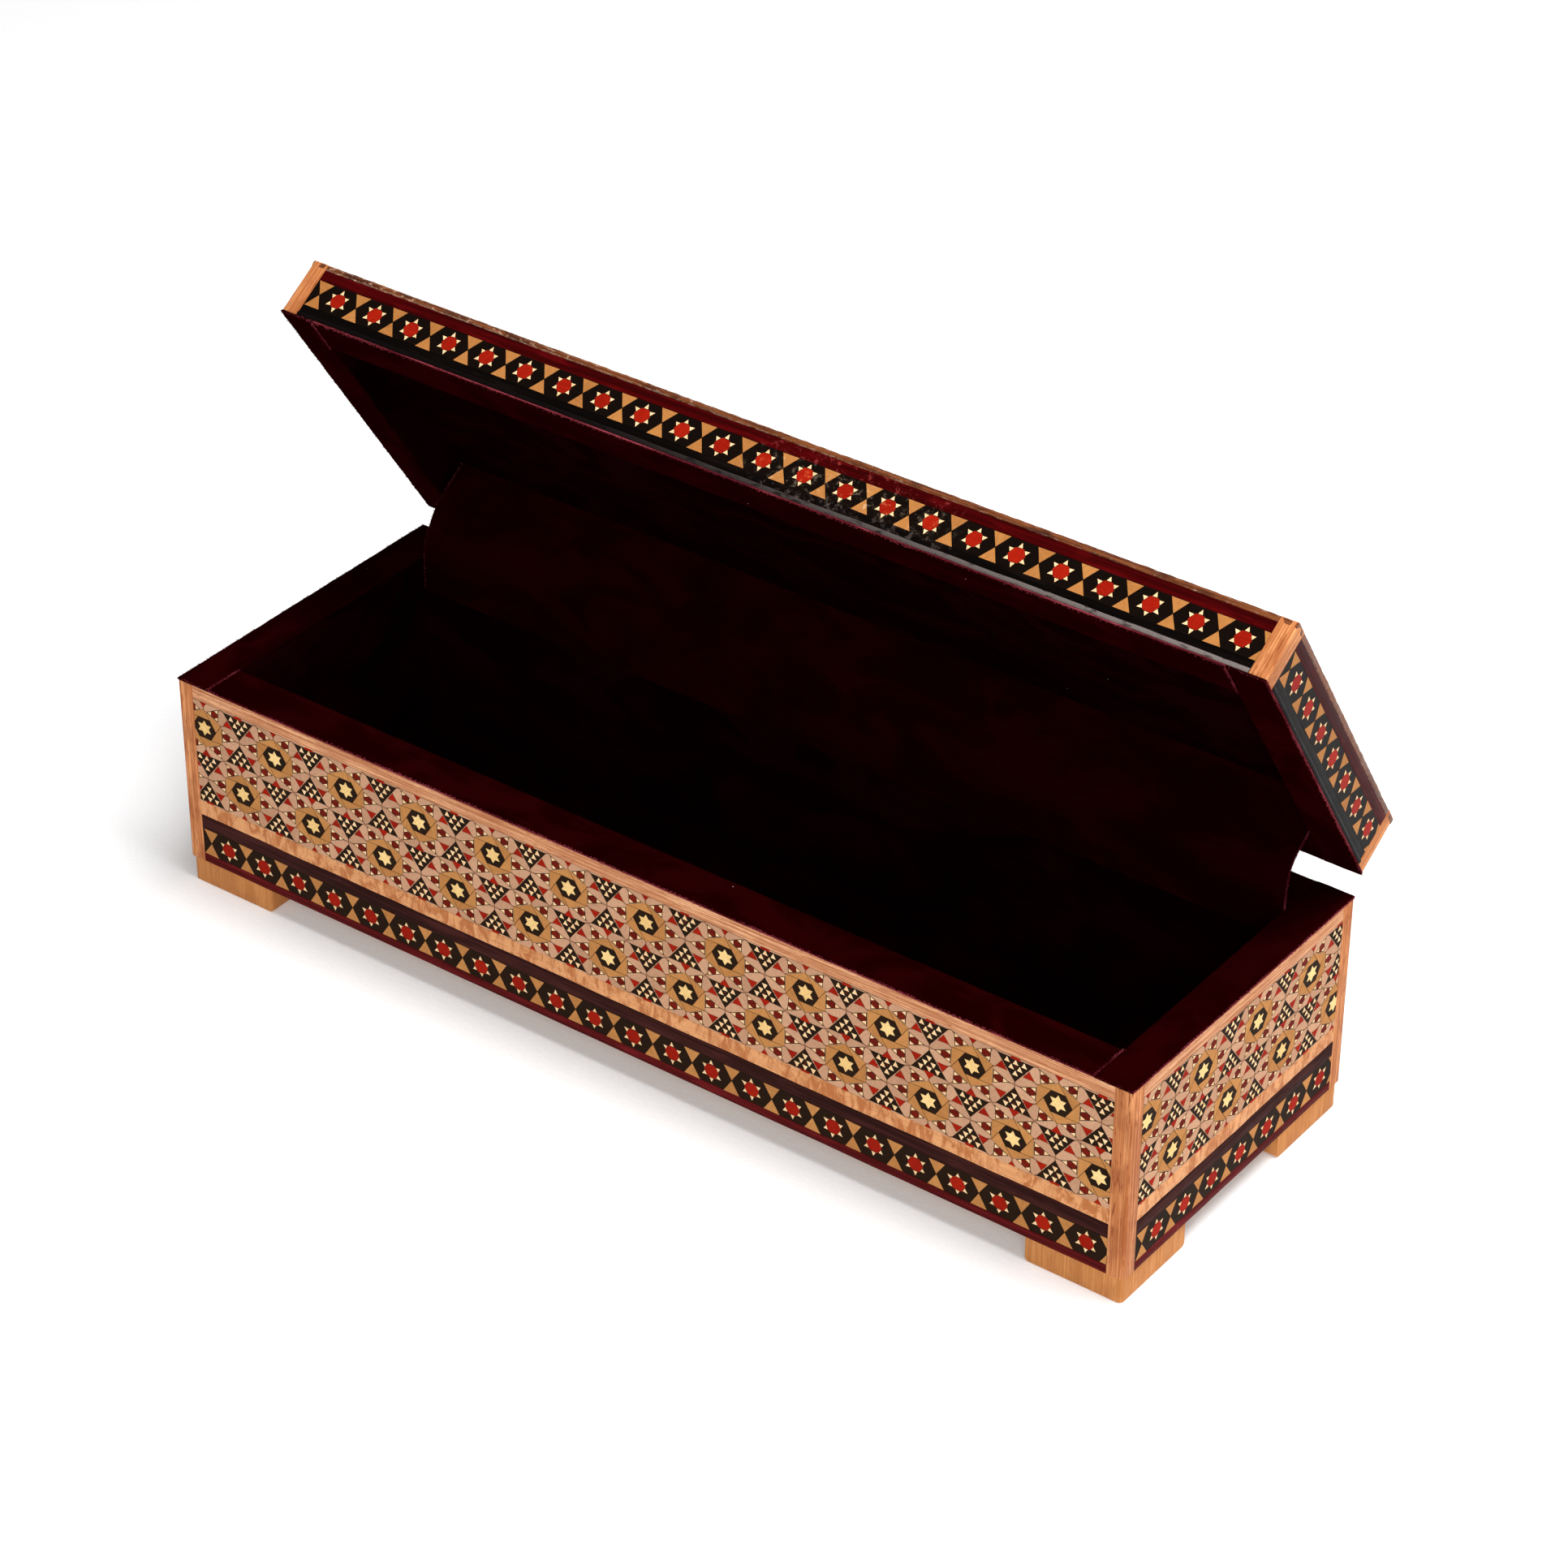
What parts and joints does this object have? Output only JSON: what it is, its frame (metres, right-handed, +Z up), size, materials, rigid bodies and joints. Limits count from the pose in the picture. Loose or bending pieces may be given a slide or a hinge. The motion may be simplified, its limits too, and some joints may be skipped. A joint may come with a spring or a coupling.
{
  "type": "pen case",
  "caption": "Long wooden pen case with star-pattern khatam inlay, four corner feet, a velvet lining and a lid on two small brass hinges, shown open.",
  "frame": {"origin": "middle of the open object's outline, on the plane that its feet stand on", "axes": "+Z up, +X along the case towards its right end, +Y towards the hinged back"},
  "size_m": [0.23, 0.089, 0.1238],
  "materials": {
    "board_wood": "matte",
    "trim_wood": "satin",
    "foot_wood": "satin",
    "edging_wood": "satin",
    "khatam": "gloss",
    "star_inlay": "gloss",
    "burgundy_lacquer": "gloss",
    "dark_lacquer": "gloss",
    "velvet": "matte",
    "brass": "satin"
  },
  "bodies": {
    "case": {"case_burgundy_fillets": "burgundy_lacquer", "case_dark_fillets": "dark_lacquer", "case_floor_board": "board_wood", "case_floor_velvet": "velvet", "case_front_khatam_panel": "khatam", "case_front_star_border": "star_inlay", "case_front_velvet": "velvet", "case_front_wall": "board_wood", "case_hinge_leaves": "brass", "case_hinge_nails": "brass", "case_left_khatam_panel": "khatam", "case_left_star_border": "star_inlay", "case_left_velvet": "velvet", "case_left_wall": "board_wood", "case_post_front_left": "trim_wood", "case_post_front_right": "trim_wood", "case_post_rear_left": "trim_wood", "case_post_rear_right": "trim_wood", "case_rear_khatam_panel": "khatam", "case_rear_star_border": "star_inlay", "case_rear_velvet": "velvet", "case_rear_wall": "board_wood", "case_right_khatam_panel": "khatam", "case_right_star_border": "star_inlay", "case_right_velvet": "velvet", "case_right_wall": "board_wood", "case_rim_bands": "trim_wood", "case_rim_velvet": "velvet", "case_waist_bands": "trim_wood", "foot_front_left": "foot_wood", "foot_front_right": "foot_wood", "foot_rear_left": "foot_wood", "foot_rear_right": "foot_wood", "hinge_pins": "brass", "velvet_flap_case_strip": "velvet"},
    "lid": {"lid_burgundy_fillets": "burgundy_lacquer", "lid_dark_fillets": "dark_lacquer", "lid_front_star_border": "star_inlay", "lid_front_wall": "board_wood", "lid_hinge_leaves": "brass", "lid_hinge_nails": "brass", "lid_left_star_border": "star_inlay", "lid_left_wall": "board_wood", "lid_post_front_left": "trim_wood", "lid_post_front_right": "trim_wood", "lid_post_rear_left": "trim_wood", "lid_post_rear_right": "trim_wood", "lid_rear_star_border": "star_inlay", "lid_rear_wall": "board_wood", "lid_right_star_border": "star_inlay", "lid_right_wall": "board_wood", "lid_rim_velvet": "velvet", "lid_top_board": "board_wood", "lid_top_edging": "edging_wood", "lid_top_fillet": "dark_lacquer", "lid_top_khatam_panel": "khatam", "lid_top_velvet": "velvet", "lid_wall_velvet": "velvet", "velvet_flap_lid_strip": "velvet"}
  },
  "joints": [
    {"name": "lid_hinge", "type": "hinge", "parent": "case", "child": "lid", "pos_m": [0, 0.03572, 0.04945], "axis": [-1, 0, 0], "range_deg": [-57, 8]}
  ]
}
